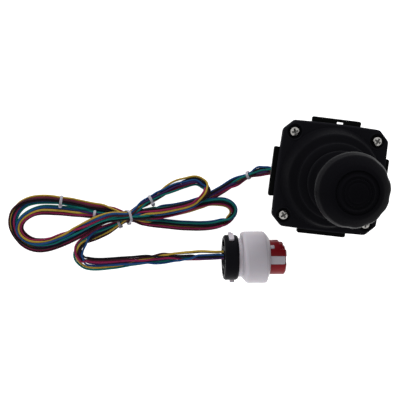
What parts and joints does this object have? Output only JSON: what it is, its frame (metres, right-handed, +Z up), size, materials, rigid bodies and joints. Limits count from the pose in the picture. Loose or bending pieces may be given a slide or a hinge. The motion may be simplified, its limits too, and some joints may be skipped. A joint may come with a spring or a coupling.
{
  "type": "industrial joystick",
  "caption": "Two-axis hand joystick with a palm knob, a push button in its crown, a square flanged rubber boot and a wired harness that ends in a round plug.",
  "frame": {"origin": "on the standing surface, at the middle of the bottom cover, under the stick's axis", "axes": "+Z up along the stick; X and Y are the two tilt axes; the harness leaves towards -X; the slotted tab is on the +Y side"},
  "size_m": [0.2431, 0.1225, 0.128],
  "materials": {
    "black_plastic": "moulded black plastic",
    "black_rubber": "matte black rubber",
    "black_steel": "black coated steel sheet",
    "bright_steel": "zinc plated or stainless steel",
    "brass": "brass",
    "die_cast": "die cast alloy",
    "white_nylon": "natural nylon",
    "magnet": "nickel plated magnet",
    "green_board": "circuit board",
    "chip_black": "moulded chip",
    "wire_cover": "coloured wires",
    "white_tie": "nylon tie",
    "white_plug": "white moulded plastic",
    "red_plastic": "red moulded plastic",
    "seal_silicone": "silicone seal"
  },
  "bodies": {
    "base": {"bottom_cover": "black_plastic", "housing_shell": "black_plastic", "housing_screws": "bright_steel", "mounting_plate": "black_steel", "boot_flange": "black_rubber", "compression_sleeves": "brass", "flange_screws": "bright_steel", "gimbal_frame": "die_cast", "frame_screws": "bright_steel", "limit_plate": "white_nylon", "ring_bushes": "brass", "arch_bushes": "brass", "circuit_board": "green_board", "board_screws": "bright_steel", "board_chips": "chip_black", "board_socket": "black_plastic", "sensor_board_x": "green_board", "sensor_board_y": "green_board", "sensor_chips": "chip_black", "cable_grommet": "black_rubber", "bellows_lower": "black_rubber", "return_spring_x": "bright_steel", "return_spring_y": "bright_steel", "harness_lead": "wire_cover", "harness_hank": "wire_cover", "harness_tail": "wire_cover", "harness_ties": "white_tie", "hank_ties": "white_tie", "plug_body": "white_plug", "plug_cage": "black_plastic", "plug_clip": "white_plug", "wire_seal": "seal_silicone", "plug_core": "red_plastic", "plug_keys": "white_plug", "plug_contacts": "brass"},
    "gimbal": {"gimbal_ring": "die_cast", "pivot_pin": "bright_steel", "magnet_x": "magnet"},
    "stick": {"stick_shaft": "bright_steel", "stick_block": "die_cast", "grub_screw": "bright_steel", "bellows_upper": "black_rubber", "boot_collar": "white_nylon", "knob_base": "black_plastic", "knob_insert": "brass", "knob_nut": "bright_steel", "knob_shell": "black_plastic", "switch_carrier": "white_nylon", "button_switch": "black_plastic", "button_guide": "white_nylon", "button_diaphragm": "black_rubber", "button_spring": "bright_steel", "button_lead": "wire_cover"},
    "button": {"push_button": "black_rubber"},
    "arch": {"slotted_arch": "die_cast", "magnet_y": "magnet"}
  },
  "joints": [
    {"name": "tilt_x", "type": "hinge", "parent": "base", "child": "gimbal", "pos_m": [0, 0, 0.032], "axis": [1, 0, 0], "range_deg": [-18, 18], "stiffness_Nm_per_rad": 0.35, "deforming": ["return_spring_x", "bellows_lower", "bellows_upper"]},
    {"name": "tilt_y", "type": "hinge", "parent": "gimbal", "child": "stick", "pos_m": [0, 0, 0.032], "axis": [0, 1, 0], "range_deg": [-18, 18], "stiffness_Nm_per_rad": 0.35},
    {"name": "arch_tilt", "type": "hinge", "parent": "base", "child": "arch", "pos_m": [0, 0, 0.032], "axis": [0, 1, 0], "range_deg": [-18.5, 18.5], "deforming": ["return_spring_y"]},
    {"name": "button_press", "type": "slide", "parent": "stick", "child": "button", "axis": [0, 0, -1], "range_m": [0, 0.0015], "stiffness_N_per_m": 900, "springref_m": -0.0005, "deforming": ["button_spring", "button_diaphragm"]}
  ],
  "couplings": [
    {"joint": "arch_tilt", "follows": "tilt_y", "ratio": 1}
  ]
}
